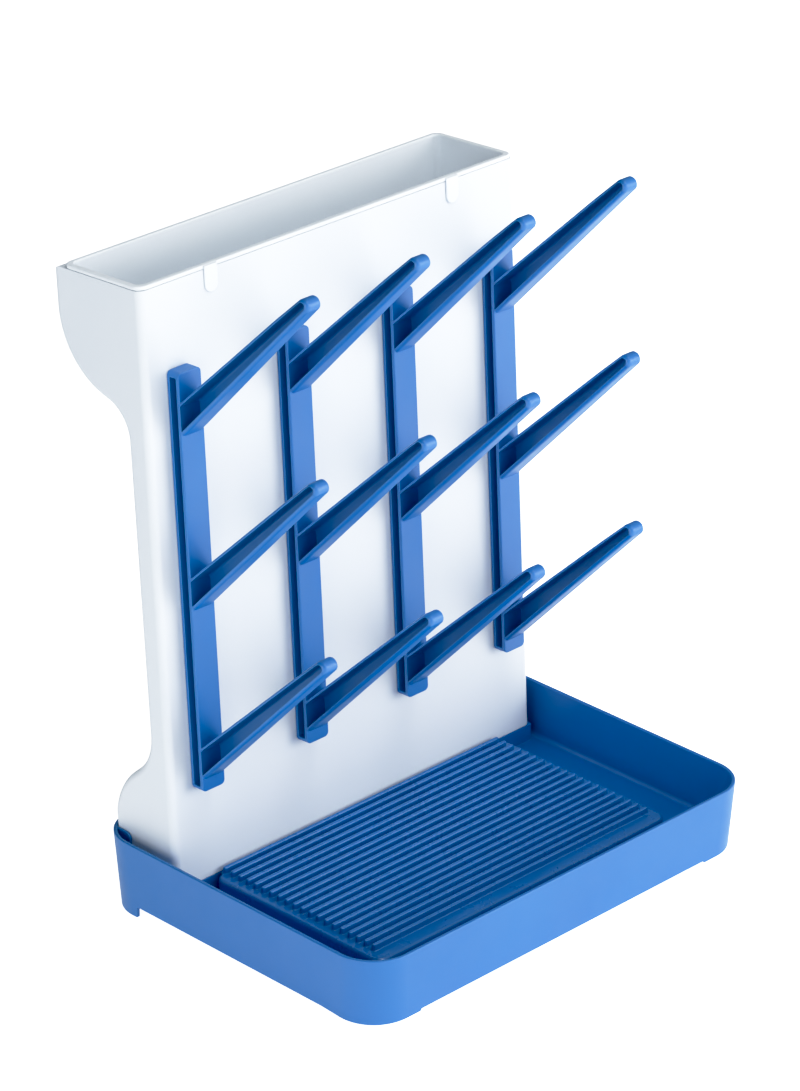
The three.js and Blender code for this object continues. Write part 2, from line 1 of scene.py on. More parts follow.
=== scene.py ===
"""Looks of a bottle drying rack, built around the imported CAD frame.

Every visible piece is modelled again here with fine edges and procedural materials, and
stands for its CAD node. Outlines are in millimetres, in two local frames that share one
origin, the bottom front edge of the tower: the tray's frame slopes forward with the tray,
and the tower's frame leans back with the tower. The joints in the frame give both angles.
"""
import json
import math

import bmesh
import bpy
from mathutils import Matrix, Vector


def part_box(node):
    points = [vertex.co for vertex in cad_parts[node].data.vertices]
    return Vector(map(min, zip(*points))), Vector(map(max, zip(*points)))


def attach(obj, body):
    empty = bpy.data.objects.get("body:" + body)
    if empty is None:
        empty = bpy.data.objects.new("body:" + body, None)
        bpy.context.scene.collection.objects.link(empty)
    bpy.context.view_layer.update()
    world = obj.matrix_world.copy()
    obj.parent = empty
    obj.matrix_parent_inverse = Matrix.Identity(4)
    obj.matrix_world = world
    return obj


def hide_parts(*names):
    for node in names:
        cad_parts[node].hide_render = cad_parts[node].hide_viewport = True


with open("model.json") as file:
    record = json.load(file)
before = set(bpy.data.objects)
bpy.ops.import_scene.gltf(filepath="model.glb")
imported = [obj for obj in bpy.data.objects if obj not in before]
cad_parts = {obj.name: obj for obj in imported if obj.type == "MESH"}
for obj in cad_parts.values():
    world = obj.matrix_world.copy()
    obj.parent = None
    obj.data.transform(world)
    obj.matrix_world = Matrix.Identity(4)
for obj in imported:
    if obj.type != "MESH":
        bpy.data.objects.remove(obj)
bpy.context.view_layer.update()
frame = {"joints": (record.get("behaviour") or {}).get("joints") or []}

# ---------------------------------------------------------------- dimensions, mm
MM = 0.001
GAP = 0.3                      # clearance between separate pieces
ORIGIN_BACK = 46.34            # shared origin behind the middle of the rack
SEAT_HEIGHT = 24.1             # shared origin above the table
REACH = 400                    # half length of cutting blocks that pass right through
SHARP_ANGLE = 32               # degrees, edges sharper than this stay crisp in the shading
QUARTER = (0, 22.5, 45, 67.5, 90)   # angles that round an edge over in four facets

TRAY_FRONT = -173.8
TRAY_BACK = 59.2
TRAY_RADIUS = 27
TRAY_WALL = 2.4
RIM_Z = 24.5
RIM_EDGE = 0.7
WALL_FOOT_Z = -17.2
DRAFT = 2.2 / (RIM_Z - WALL_FOOT_Z)
FLOOR_TOP = -11.5
FLOOR_BOTTOM = -14.0
FLOOR_FILLET = 3.0
FOOT_LIFT = 0.4
BACK_FOOT_LENGTH = 32.7
FRONT_FOOT_LENGTH = 39.6
FRONT_FOOT_THICKNESS = 8
NOTCH_FILLET = 1.6             # rounding at the top of a foot's step
NOTCH_LEAN = 0.4               # run of the nearly upright end of a foot
FRONT_RAMP_START = 6           # the side wall's bottom edge rises between these two
FRONT_RAMP_END = 44            # distances behind the front of the tray

SEAT_BACK = 56
BOSS_HEIGHT = 10
BOSS_HALF_WIDTH = 110
BOSS_FRONT = 5
BOSS_BACK = 46
COLLAR_THICKNESS = 1.6
COLLAR_FRONT = 38.2
COLLAR_TOP = 24.2
PAD_DIAMETER = 15
PAD_POST_DIAMETER = 20
PAD_RECESS = 1.5
PAD_GROOVE = 0.35              # depth of the rings in a pad's face

GRID_HALF_WIDTH = 121.5
GRID_BACK = -2.2
GRID_FRONT = -139.7
GRID_RADIUS = 7
GRID_TOP = 0.6
GRID_EDGE = 2.6
GRID_SHELL = 2.2
RIB_COUNT = 20
RIB_PITCH = 6.54
RIB_HALF_WIDTH = 1.5
RIB_HEIGHT = 4.2
RIB_HALF_LENGTH = 115.5
RIB_EDGE = 1.1                 # rounding along the top of a rib
RIB_FLARE = 0.7                # hollow curve where a rib meets the plate
FIRST_RIB = -3.9

TOWER_WALL = 2.0
TOWER_EDGE = 4.8
TOWER_TOP = 371.3
BIN_BACK = 73.2
BIN_ARC = 50
BIN_ARC_TOP = 347.3
NECK_ARC = 22
COLUMN_BACK_TOP = 18.8
COLUMN_BACK_FOOT = 17.4
COLUMN_FOOT_Z = 95.5
UNDERSIDE_SLOPE = 18
FLARE_HOLLOW_ARC = 33
FLARE_ROUND_ARC = 48
FLARE_SLOPE = 38
FOOT_BACK = 53
SHOULDER = 7

COVER_HALF_WIDTH = 128
COVER_BOTTOM = 112
COVER_TOP = 262
COVER_RADIUS = 8
COVER_THICKNESS = 2.0
SCREW_COLUMNS = (-83.4, 0, 83.4)
SCREW_ROWS = (122, 252)
SCREW_HEAD_DIAMETER = 5.6
SCREW_HEAD_HEIGHT = 0.9
SCREW_SHANK_DIAMETER = 2.8
SCREW_LENGTH = 9
SCREW_BOSS_DIAMETER = 8

LIP_BACK = 64.5
LIP_TOP = 373.8
LIP_RADIUS = 6
LINER_WALL = 1.5
LINER_BACK = 62.5
LINER_FLOOR = 306
LINER_ARC = 46
LINER_CORNER = 6
MOUTH_EDGE = 0.9               # rounding of the inner edge of the lip
MOUTH_CORNER = 4               # upright corners of the bin
TAB_OFFSET = 95.6
TAB_WIDTH = 9.8
TAB_BOTTOM = 357
TAB_THICKNESS = 1.0

RAIL_COUNT = 4
RAIL_PITCH = 83.45
RAIL_SHIFT = 1.5               # the row of rails stands a little right of the middle
RAIL_WIDTH = 17.3
RAIL_DEPTH = 9.5
RAIL_BOTTOM = 61.4
RAIL_TOP = 320.8
RAIL_CORNER = 3
RAIL_FRONT_WALL = 2.2
RAIL_BACK_WALL = 2.0
RAIL_CAP = 3.2
WEB = 2.0
PEGS_PER_RAIL = 3
PEG_SPACING = 106.8
PEG_ROOT_Z = 293.5
PEG_RISE = 41.6
PEG_LENGTH = 137.9
PEG_STRAIGHT = 115             # the edges start to round off towards the tip from here
PEG_ROOT_HALF = 7.65
PEG_TIP_HALF = 4.3
PEG_TIP_WIDTH = 12.2
PEG_TOP_WALL = 1.5
PEG_BOTTOM_WALL = 2.2
PEG_TOP_EDGE = 0.8             # rounding of the peg's upper edges
PEG_LOWER_EDGE = 3.0           # rounding of its lower edges
PEG_TIP_EDGE = 2.5             # rounding of all its edges at the tip
PRONG_HEIGHTS = (95, 190, 285)
PRONG_WIDTH = 8
PRONG_TALL = 14
PRONG_LENGTH = 8

# Camera, measured in the tray's frame
CAMERA_AIM = (11.4, -22.8, 177.2)
CAMERA_DISTANCE = 2688
CAMERA_TURN = -44.795
CAMERA_RISE = 25.694
CAMERA_LENS = 207.3
SENSOR_WIDTH = 36
FARTHEST_SEEN = 20             # metres

tray_low, tray_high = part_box("tray")
tower_low, tower_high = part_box("tower_shell")
TRAY_WIDTH = (tray_high.x - tray_low.x) / MM
TOWER_WIDTH = (tower_high.x - tower_low.x) / MM
TRAY_MIDDLE = (TRAY_FRONT + TRAY_BACK) / 2


def joint_tilt(name):
    """Turn about X, in radians, that carries straight up onto a joint's axis."""
    joint = next(item for item in frame["joints"] if item["name"] == name)
    axis = Vector(joint["axis"])
    return math.atan2(-axis.y, axis.z)


def local_frame(tilt):
    origin = Matrix.Translation((0, ORIGIN_BACK * MM, SEAT_HEIGHT * MM))
    return origin @ Matrix.Rotation(tilt, 4, "X") @ Matrix.Scale(MM, 4)


TRAY_TILT = joint_tilt("grid_lift")
TOWER_TILT = joint_tilt("tower_lift")
TRAY = local_frame(TRAY_TILT)
TOWER = local_frame(TOWER_TILT)


# ---------------------------------------------------------------- outlines
def arc(centre, radius, start, end, segments=12):
    """Points along an arc, with its angles in degrees."""
    points = []
    for step in range(segments + 1):
        angle = math.radians(start + (end - start) * step / segments)
        points.append((centre[0] + radius * math.cos(angle), centre[1] + radius * math.sin(angle)))
    return points


def rounded_rectangle(low, high, radius, inset=0.0, segments=8):
    (u0, v0), (u1, v1) = low, high
    corners = ((u1, v1, -1, -1, 0), (u0, v1, 1, -1, 90), (u0, v0, 1, 1, 180), (u1, v0, -1, 1, 270))
    points = []
    for u, v, side_u, side_v, start in corners:
        centre = (u + side_u * radius, v + side_v * radius)
        points += arc(centre, max(radius - inset, 0.01), start, start + 90, segments)
    return points


def rounded_steps(low, high, low_edge, high_edge, segments=5):
    """Pairs of place and inset that round both ends of a solid."""
    angles = [math.radians(90 * step / segments) for step in range(segments + 1)]

    def rounded_end(end, edge, way):
        if edge == 0:
            return [(end, 0.0)]
        return [(end + way * edge * (1 - math.cos(angle)), edge * (1 - math.sin(angle)))
                for angle in angles]

    return rounded_end(low, low_edge, 1) + rounded_end(high, high_edge, -1)[::-1]


# ---------------------------------------------------------------- solids
def skin(loops):
    """Closed mesh through loops of equal length, capped at both ends."""
    count = len(loops[0])
    mesh = bpy.data.meshes.new("solid")
    vertices = [point for loop in loops for point in loop]
    faces = []
    for row in range(len(loops) - 1):
        here = row * count
        there = here + count
        for place in range(count):
            after = (place + 1) % count
            faces.append((here + place, here + after, there + after, there + place))
    faces.append(tuple(reversed(range(count))))
    faces.append(tuple(range(len(vertices) - count, len(vertices))))
    mesh.from_pydata(vertices, [], faces)
    outward = bmesh.new()
    outward.from_mesh(mesh)
    bmesh.ops.recalc_face_normals(outward, faces=outward.faces)
    outward.to_mesh(mesh)
    outward.free()
    solid = bpy.data.objects.new("solid", mesh)
    bpy.context.scene.collection.objects.link(solid)
    return solid


AXIS_PLACES = {
    "X": lambda u, v, w: (w, u, v),
    "Y": lambda u, v, w: (u, w, v),
    "Z": lambda u, v, w: (u, v, w),
}


def thicken(outline, low, high, edges=(0, 0), axis="Z", segments=5):
    """Solid from an outline(inset) between two places on an axis, with both ends rounded."""
    place = AXIS_PLACES[axis]
    steps = rounded_steps(low, high, edges[0], edges[1], segments)
    return skin([[place(u, v, at) for u, v in outline(inset)] for at, inset in steps])


def block(low, high, radius=0.0, edges=(0, 0), axis="Z", segments=4):
    """Box between two corners, with its edges along one axis rounded."""
    keep = {"X": (1, 2, 0), "Y": (0, 2, 1), "Z": (0, 1, 2)}[axis]
    first = (low[keep[0]], low[keep[1]])
    last = (high[keep[0]], high[keep[1]])

    def outline(inset):
        if radius == 0:
            (u0, v0), (u1, v1) = first, last
            return [(u0, v0), (u1, v0), (u1, v1), (u0, v1)]
        return rounded_rectangle(first, last, radius, inset, segments)

    return thicken(outline, low[keep[2]], high[keep[2]], edges, axis, segments)


def round_rod(centre, diameter, low, high, edges=(0, 0), axis="Y", segments=32):
    def outline(inset):
        return arc(centre, diameter / 2 - inset, 0, 360 * (1 - 1 / segments), segments - 1)

    return thicken(outline, low, high, edges, axis)


def bake(solid):
    """Apply every modifier."""
    graph = bpy.context.evaluated_depsgraph_get()
    mesh = bpy.data.meshes.new_from_object(solid.evaluated_get(graph))
    solid.modifiers.clear()
    solid.data = mesh
    return solid


def merge(solids):
    """Put separate closed solids into one mesh without joining them."""
    first = solids[0]
    gathered = bmesh.new()
    for solid in solids:
        gathered.from_mesh(solid.data)
    gathered.to_mesh(first.data)
    gathered.free()
    for solid in solids[1:]:
        bpy.data.objects.remove(solid)
    return first


def combine(solid, tools, operation):
    """Join, cut or intersect a solid with each tool in turn, and remove the tools."""
    for tool in tools:
        modifier = solid.modifiers.new("combine", "BOOLEAN")
        modifier.solver = "EXACT"
        modifier.operation = operation
        modifier.object = tool
        bake(solid)
        bpy.data.objects.remove(tool)
    return solid


def join(solid, *tools):
    return combine(solid, tools, "UNION")


def cut(solid, *tools):
    return combine(solid, tools, "DIFFERENCE")


def common(solid, *tools):
    return combine(solid, tools, "INTERSECT")


def finish_piece(solid, name, node, body, material, place):
    """Move a finished solid into the frame, name it and let it stand for its CAD node."""
    mesh = solid.data
    mesh.transform(place)
    mesh.name = name
    solid.name = name
    mesh.materials.clear()
    mesh.materials.append(material)
    for polygon in mesh.polygons:
        polygon.use_smooth = True
    mesh.set_sharp_from_angle(angle=math.radians(SHARP_ANGLE))
    weighted = solid.modifiers.new("weighted_normals", "WEIGHTED_NORMAL")
    weighted.keep_sharp = True
    weighted.weight = 60
    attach(solid, body)
    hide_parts(node)


# ---------------------------------------------------------------- materials
def add_node(tree, kind, **values):
    node = tree.nodes.new(kind)
    for key, value in values.items():
        setattr(node, key, value)
    return node


def noise(tree, coordinates, scale, detail=3.0, roughness=0.5):
    node = add_node(tree, "ShaderNodeTexNoise")
    node.inputs["Scale"].default_value = scale
    node.inputs["Detail"].default_value = detail
    node.inputs["Roughness"].default_value = roughness
    tree.links.new(coordinates, node.inputs["Vector"])
    return node.outputs["Fac"]


def remap(tree, value, low, high, source_low=0.3, source_high=0.7):
    node = add_node(tree, "ShaderNodeMapRange", clamp=True)
    node.inputs["From Min"].default_value = source_low
    node.inputs["From Max"].default_value = source_high
    node.inputs["To Min"].default_value = low
    node.inputs["To Max"].default_value = high
    tree.links.new(value, node.inputs["Value"])
    return node.outputs["Result"]


def mix_color(tree, factor, first, second):
    node = add_node(tree, "ShaderNodeMix", data_type="RGBA")
    tree.links.new(factor, node.inputs["Factor"])
    for socket, value in (("A", first), ("B", second)):
        target = next(item for item in node.inputs if item.name == socket and item.type == "RGBA")
        if isinstance(value, tuple):
            target.default_value = (*value, 1.0)
        else:
            tree.links.new(value, target)
    return next(item for item in node.outputs if item.type == "RGBA")


def edge_mask(tree, radius):
    """One on edges tighter than the radius, zero on flat ground."""
    bevel = add_node(tree, "ShaderNodeBevel", samples=4)
    bevel.inputs["Radius"].default_value = radius
    geometry = add_node(tree, "ShaderNodeNewGeometry")
    dot = add_node(tree, "ShaderNodeVectorMath", operation="DOT_PRODUCT")
    tree.links.new(bevel.outputs["Normal"], dot.inputs[0])
    tree.links.new(geometry.outputs["Normal"], dot.inputs[1])
    return remap(tree, dot.outputs["Value"], 1.0, 0.0, 0.86, 0.995), bevel.outputs["Normal"]


def start_material(name):
    """New material with its node tree, its shader and its object coordinates."""
    material = bpy.data.materials.new(name)
    material.use_nodes = True
    tree = material.node_tree
    coordinates = add_node(tree, "ShaderNodeTexCoord").outputs["Object"]
    return material, tree, tree.nodes["Principled BSDF"], coordinates


def add_grain(tree, shader, height, strength, distance):
    """Fine relief of the surface from a height pattern. Returns the bump node."""
    bump = add_node(tree, "ShaderNodeBump")
    bump.inputs["Strength"].default_value = strength
    bump.inputs["Distance"].default_value = distance
    tree.links.new(height, bump.inputs["Height"])
    tree.links.new(bump.outputs["Normal"], shader.inputs["Normal"])
    return bump


def moulded_plastic(name, color, deep_color, edge_wear_and_highlight_color, roughness, specular=0.5):
    """Satin injection-moulded plastic: faint flow mottling, fine mould grain, and lighter edges that are
    partly scuffing and partly a painted highlight along the rounded edges.
    """
    material, tree, shader, coordinates = start_material(name)

    flow = remap(tree, noise(tree, coordinates, 14, detail=2), 0.0, 1.0)
    mottle = mix_color(tree, flow, color, deep_color)
    mask, soft_normal = edge_mask(tree, 0.0007)
    # Lighter patches along the edges: partly wear, partly a painted highlight that rounded edges catch.
    wear_and_highlight = add_node(tree, "ShaderNodeMath", operation="MULTIPLY")
    tree.links.new(mask, wear_and_highlight.inputs[0])
    tree.links.new(remap(tree, noise(tree, coordinates, 90, detail=3), 0.55, 0.9), wear_and_highlight.inputs[1])
    tree.links.new(mix_color(tree, wear_and_highlight.outputs["Value"], mottle, edge_wear_and_highlight_color), shader.inputs["Base Color"])

    handling = noise(tree, coordinates, 45, detail=4, roughness=0.6)
    tree.links.new(remap(tree, handling, roughness - 0.04, roughness + 0.05), shader.inputs["Roughness"])

    grain = add_grain(tree, shader, noise(tree, coordinates, 1800, detail=2), 0.35, 0.00001)
    tree.links.new(soft_normal, grain.inputs["Normal"])
    shader.inputs["Specular IOR Level"].default_value = specular
    return material


def pad_rubber():
    """Matte dark rubber with a little dust on it."""
    material, tree, shader, coordinates = start_material("pad_rubber")
    dust = remap(tree, noise(tree, coordinates, 260, detail=4), 0.0, 1.0)
    color = mix_color(tree, dust, (0.018, 0.02, 0.024), (0.04, 0.043, 0.05))
    tree.links.new(color, shader.inputs["Base Color"])
    tree.links.new(remap(tree, dust, 0.75, 0.92, 0.0, 1.0), shader.inputs["Roughness"])
    add_grain(tree, shader, noise(tree, coordinates, 1100, detail=3), 0.6, 0.00006)
    return material


def plated_steel():
    """Plated steel with faint stains."""
    material, tree, shader, coordinates = start_material("screw_steel")
    stain = remap(tree, noise(tree, coordinates, 700, detail=4), 0.0, 1.0)
    tree.links.new(mix_color(tree, stain, (0.62, 0.63, 0.65), (0.5, 0.5, 0.51)), shader.inputs["Base Color"])
    tree.links.new(remap(tree, stain, 0.24, 0.4, 0.0, 1.0), shader.inputs["Roughness"])
    shader.inputs["Metallic"].default_value = 1.0
    add_grain(tree, shader, noise(tree, coordinates, 2600, detail=2), 0.4, 0.00002)
    return material


# Each plastic has its colour, a deeper one that mottles it, and a lighter one on its edges, which is partly
# wear and partly a painted highlight along the rounded edges.
BLUE = moulded_plastic(
    "rack_blue", (0.004, 0.145, 0.43), (0.003, 0.135, 0.41), (0.07, 0.29, 0.66), 0.4, 0.8)
GRID_BLUE = moulded_plastic(
    "grid_blue", (0.002, 0.135, 0.41), (0.002, 0.125, 0.385), (0.04, 0.25, 0.62), 0.28, 0.7)
WHITE = moulded_plastic(
    "tower_white", (0.745, 0.78, 0.825), (0.725, 0.765, 0.815), (0.79, 0.82, 0.86), 0.4)
BIN_WHITE = moulded_plastic(
    "bin_white", (0.83, 0.865, 0.90), (0.81, 0.85, 0.89), (0.85, 0.88, 0.92), 0.4)
RUBBER = pad_rubber()
STEEL = plated_steel()


# ---------------------------------------------------------------- tray
def perimeter(inset, shift=0.0, extra=((), ())):
    """Rounded tray outline. Straight sides carry the extra points given for each pair of walls."""
    across, along = extra
    half = TRAY_WIDTH / 2 - shift
    front = TRAY_FRONT + shift
    back = TRAY_BACK - shift
    radius = TRAY_RADIUS - inset
    side = half - TRAY_RADIUS
    points = arc((side, back - TRAY_RADIUS), radius, 0, 90, 14)
    points += [(x, back - inset) for x in sorted(across, reverse=True)]
    points += arc((-side, back - TRAY_RADIUS), radius, 90, 180, 14)
    points += [(-half + inset, y) for y in sorted(along, reverse=True)]
    points += arc((-side, front + TRAY_RADIUS), radius, 180, 270, 14)
    points += [(x, front + inset) for x in sorted(across)]
    points += arc((side, front + TRAY_RADIUS), radius, 270, 360, 14)
    points += [(half - inset, y) for y in sorted(along)]
    return points


def table_level(y):
    """Height in the tray's frame of the underside of the feet."""
    return (FOOT_LIFT - SEAT_HEIGHT - y * math.sin(TRAY_TILT)) / math.cos(TRAY_TILT)


def step_up(distance, low, high):
    """Height of a wall's bottom edge at a distance outside the end of a foot."""
    fillet = min(NOTCH_FILLET, 0.9 * (high - low))
    if distance <= 0:
        return low
    if distance >= NOTCH_LEAN + fillet:
        return high
    if distance <= NOTCH_LEAN:
        return low + (high - low - fillet) * distance / NOTCH_LEAN
    rest = 1 - (distance - NOTCH_LEAN) / fillet
    return high - fillet * (1 - math.sqrt(1 - rest * rest))


def wall_bottom(x, y):
    """Height of the bottom edge of the wall at a place on the perimeter."""
    foot = table_level(y)
    front_wall = y < TRAY_FRONT + TRAY_RADIUS
    back_wall = y > TRAY_BACK - TRAY_RADIUS
    if abs(x) < TRAY_WIDTH / 2 - TRAY_RADIUS - 2 and (front_wall or back_wall):
        return step_up(TRAY_WIDTH / 2 - FRONT_FOOT_LENGTH - abs(x), foot, WALL_FOOT_Z)
    if y > TRAY_MIDDLE:
        return step_up(TRAY_BACK - BACK_FOOT_LENGTH - y, foot, WALL_FOOT_Z)
    ramp_length = FRONT_RAMP_END - FRONT_RAMP_START
    rise = min(max((y - TRAY_FRONT - FRONT_RAMP_START) / ramp_length, 0.0), 1.0)
    return foot + (WALL_FOOT_Z - foot) * rise


STEP_PLACES = (0, 0.4, 0.55, 0.8, 1.1, 1.5, 2.0)


def tray_shell():
    foot_end = TRAY_WIDTH / 2 - FRONT_FOOT_LENGTH
    across = [side * (foot_end - place) for side in (-1, 1) for place in STEP_PLACES]
    across += [-60, 0, 60]
    along = [TRAY_BACK - BACK_FOOT_LENGTH - place for place in STEP_PLACES]
    along += [TRAY_FRONT + FRONT_RAMP_END, TRAY_FRONT + FRONT_RAMP_END - 10, -90, -50, 0]
    extra = (across, along)

    def ring(inset, z):
        shift = DRAFT * (RIM_Z - z)
        return [(x, y, z) for x, y in perimeter(inset, shift, extra)]

    def bottom_ring(inset, raised):
        loop = []
        for index, (x, y) in enumerate(perimeter(0, 0, extra)):
            z = wall_bottom(x, y) + raised
            loop.append((*perimeter(inset, DRAFT * (RIM_Z - z), extra)[index], z))
        return loop

    fillet = [
        (TRAY_WALL + FLOOR_FILLET * (1 - math.cos(math.radians(angle))),
         FLOOR_TOP + FLOOR_FILLET * (1 - math.sin(math.radians(angle))))
        for angle in (90, 72, 54, 36, 18, 0)
    ]
    loops = [ring(inset, z) for inset, z in fillet]
    rim = [
        (TRAY_WALL / 2 + (TRAY_WALL / 2 - RIM_EDGE) * side + RIM_EDGE * math.sin(math.radians(angle)),
         RIM_Z - RIM_EDGE + RIM_EDGE * math.cos(math.radians(angle)))
        for side, angles in ((1, (90, 67, 45, 22, 0)), (-1, (0, -22, -45, -67, -90)))
        for angle in angles
    ]
    loops += [ring(inset, z) for inset, z in rim]
    eased_edge = ((0, 0.35), (0.1, 0.1), (0.35, 0.0), (TRAY_WALL - 0.3, 0.0), (TRAY_WALL, 0.3))
    loops += [bottom_ring(inset, raised) for inset, raised in eased_edge]
    loops.append(ring(TRAY_WALL, FLOOR_BOTTOM))
    return skin(loops)


def tray_prism(inset, low, high):
    """Solid inside the tray's outline, following the draft of its walls."""
    return skin([
        [(x, y, z) for x, y in perimeter(inset, DRAFT * (RIM_Z - z))]
        for z in (low, high)])


def tray():
    seat_half = TOWER_WIDTH / 2 + GAP + COLLAR_THICKNESS / 2
    seat = block((-seat_half, 0, FLOOR_TOP - 1), (seat_half, SEAT_BACK, 0), radius=1.2, edges=(0, 0.5))
    collars = [collar(side) for side in (-1, 1)]
    inside = [common(solid, tray_prism(TRAY_WALL / 2, FLOOR_BOTTOM, RIM_Z)) for solid in (seat, *collars)]
    boss = block(
        (-BOSS_HALF_WIDTH, BOSS_FRONT, -1), (BOSS_HALF_WIDTH, BOSS_BACK, BOSS_HEIGHT),
        radius=3, edges=(0, 1.5))
    plate = FLOOR_TOP - FLOOR_BOTTOM
    under_seat = common(
        block((plate - seat_half, plate, FLOOR_BOTTOM - 1), (seat_half - plate, SEAT_BACK - 4, -plate)),
        tray_prism(TRAY_WALL + 1, FLOOR_BOTTOM - 2, RIM_Z))
    blocks = [front_foot_block(side) for side in (-1, 1)]
    return cut(join(tray_shell(), *inside, boss, *blocks), under_seat)


def collar(side):
    """Upright rib with a rounded front corner beside the foot of the tower."""
    middle = side * (TOWER_WIDTH / 2 + GAP + COLLAR_THICKNESS / 2)

    def outline(inset):
        front, top = COLLAR_FRONT + inset, COLLAR_TOP - inset
        rounded = arc((COLLAR_FRONT + 4, COLLAR_TOP - 4), 4 - inset, 180, 90, 8)
        return [(front, FLOOR_TOP - 1), *rounded, (TRAY_BACK, top), (TRAY_BACK, FLOOR_TOP - 1)]

    half = COLLAR_THICKNESS / 2
    return thicken(outline, middle - half, middle + half, (0.4, 0.4), "X", 3)


def front_foot_block(side):
    """Bar behind the end of a front foot, down to the table."""
    outer = TRAY_WIDTH / 2 - TRAY_RADIUS
    inner = TRAY_WIDTH / 2 - FRONT_FOOT_LENGTH + 0.2
    front = TRAY_FRONT + DRAFT * (RIM_Z - FLOOR_BOTTOM) + 0.6
    low, high = sorted((side * inner, side * outer))
    return block(
        (low, front, table_level(front)), (high, front + FRONT_FOOT_THICKNESS, FLOOR_BOTTOM + 1),
        radius=0.8)


def pad_places():
    """Middle of each pad, from the frame, in millimetres."""
    places = {}
    for corner in ("front_left", "front_right", "back_left", "back_right"):
        low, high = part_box(f"foot_pad_{corner}")
        places[corner] = ((low.x + high.x) / 2 / MM, (low.y + high.y) / 2 / MM)
    return places


def tray_feet(body):
    """Add the level things under the sloping tray: posts over the pads, with their recesses."""
    posts = []
    recesses = []
    for x, y in pad_places().values():
        surface = 0 if y > ORIGIN_BACK else FLOOR_TOP
        slope = (y - ORIGIN_BACK) * math.tan(TRAY_TILT)
        reach = SEAT_HEIGHT + slope + surface - (FLOOR_TOP - FLOOR_BOTTOM) / 2
        posts.append(round_rod((x, y), PAD_POST_DIAMETER, FOOT_LIFT, reach, (0.5, 0), "Z"))
        recesses.append(round_rod(
            (x, y), PAD_DIAMETER + 2 * GAP, -5, PAD_RECESS + FOOT_LIFT + GAP, (0, 0), "Z"))
    return cut(join(body, *posts), *recesses)


def foot_pad():
    """Rubber disc with a dished, ringed face."""
    radius = PAD_DIAMETER / 2
    top = PAD_RECESS + FOOT_LIFT
    profile = []
    for groove_start, groove_end in ((0.01, 1.6), (3.0, 3.9), (5.3, 6.0)):
        profile += [(groove_start, PAD_GROOVE), (groove_end, PAD_GROOVE)]
        profile += [(groove_end + 0.4, 0.0), (groove_end + 1.0, 0.0)]
    profile += [(radius - 0.15, 0.15), (radius, 0.5), (radius, top - 0.3), (radius - 0.3, top), (0.01, top)]
    return skin([[(*point, z) for point in arc((0, 0), r, 0, 354, 59)] for r, z in profile])


# ---------------------------------------------------------------- drain grid
def drain_grid():
    low, high = (-GRID_HALF_WIDTH, GRID_FRONT), (GRID_HALF_WIDTH, GRID_BACK)
    bottom = FLOOR_TOP + GAP

    def ring(inset, z):
        return [(x, y, z) for x, y in rounded_rectangle(low, high, GRID_RADIUS, inset, 10)]

    under = GRID_TOP - GRID_SHELL
    loops = [ring(GRID_SHELL, under), ring(GRID_SHELL, bottom + 0.3), ring(GRID_SHELL - 0.3, bottom)]
    loops += [ring(0.3, bottom), ring(0, bottom + 0.3)]
    loops += [ring(inset, z) for z, inset in rounded_steps(bottom, GRID_TOP, 0, GRID_EDGE, 8)[1:]]
    return join(skin(loops), merge([rib(index) for index in range(RIB_COUNT)]))


def rib(index):
    """One drain rib: a long stadium that flares into the plate and is rounded over on top."""
    y = FIRST_RIB - index * RIB_PITCH
    top = GRID_TOP + RIB_HEIGHT
    turns = [math.radians(angle) for angle in QUARTER]
    steps = [(GRID_TOP - 1, -RIB_FLARE)]
    steps += [(GRID_TOP - 0.02 + RIB_FLARE * (1 - math.cos(turn)), -RIB_FLARE * (1 - math.sin(turn)))
              for turn in turns]
    steps += [(top - RIB_EDGE * (1 - math.sin(turn)), 0.2 + RIB_EDGE * (1 - math.cos(turn)))
              for turn in turns]
    loops = []
    for z, inset in steps:
        radius = RIB_HALF_WIDTH - inset
        reach = RIB_HALF_LENGTH - RIB_HALF_WIDTH
        points = arc((reach, y), radius, -90, 90, 10) + arc((-reach, y), radius, 90, 270, 10)
        loops.append([(u, v, z) for u, v in points])
    return skin(loops)


# ---------------------------------------------------------------- tower
SLOPE = math.radians(UNDERSIDE_SLOPE)
FLARE = math.radians(FLARE_SLOPE)
BIN_CENTRE = (BIN_BACK - BIN_ARC, BIN_ARC_TOP)


def tower_side(inset, bottom=-20, top=TOWER_TOP + 20):
    """Side view of the tower, drawn in by an inset."""
    neck_y = COLUMN_BACK_TOP + NECK_ARC
    neck_run = BIN_CENTRE[0] + BIN_ARC * math.sin(SLOPE) - neck_y + NECK_ARC * math.sin(SLOPE)
    neck_z = BIN_CENTRE[1] - (BIN_ARC + NECK_ARC) * math.cos(SLOPE) - neck_run * math.tan(SLOPE)
    hollow_y = COLUMN_BACK_FOOT + FLARE_HOLLOW_ARC
    round_y = FOOT_BACK - FLARE_ROUND_ARC
    flare_run = (round_y + FLARE_ROUND_ARC * math.sin(FLARE) - hollow_y
                 + FLARE_HOLLOW_ARC * math.sin(FLARE))
    round_z = (COLUMN_FOOT_Z - (FLARE_HOLLOW_ARC + FLARE_ROUND_ARC) * math.cos(FLARE)
               - flare_run * math.tan(FLARE))
    return [
        (inset, bottom), (inset, top), (BIN_BACK - inset, top),
        *arc(BIN_CENTRE, BIN_ARC - inset, 0, UNDERSIDE_SLOPE - 90, 24),
        *arc((neck_y, neck_z), NECK_ARC + inset, 90 + UNDERSIDE_SLOPE, 180, 14),
        *arc((hollow_y, COLUMN_FOOT_Z), FLARE_HOLLOW_ARC + inset, 180, 270 - FLARE_SLOPE, 12),
        *arc((round_y, round_z), FLARE_ROUND_ARC - inset, 90 - FLARE_SLOPE, 0, 16),
        (FOOT_BACK - inset, bottom),
    ]


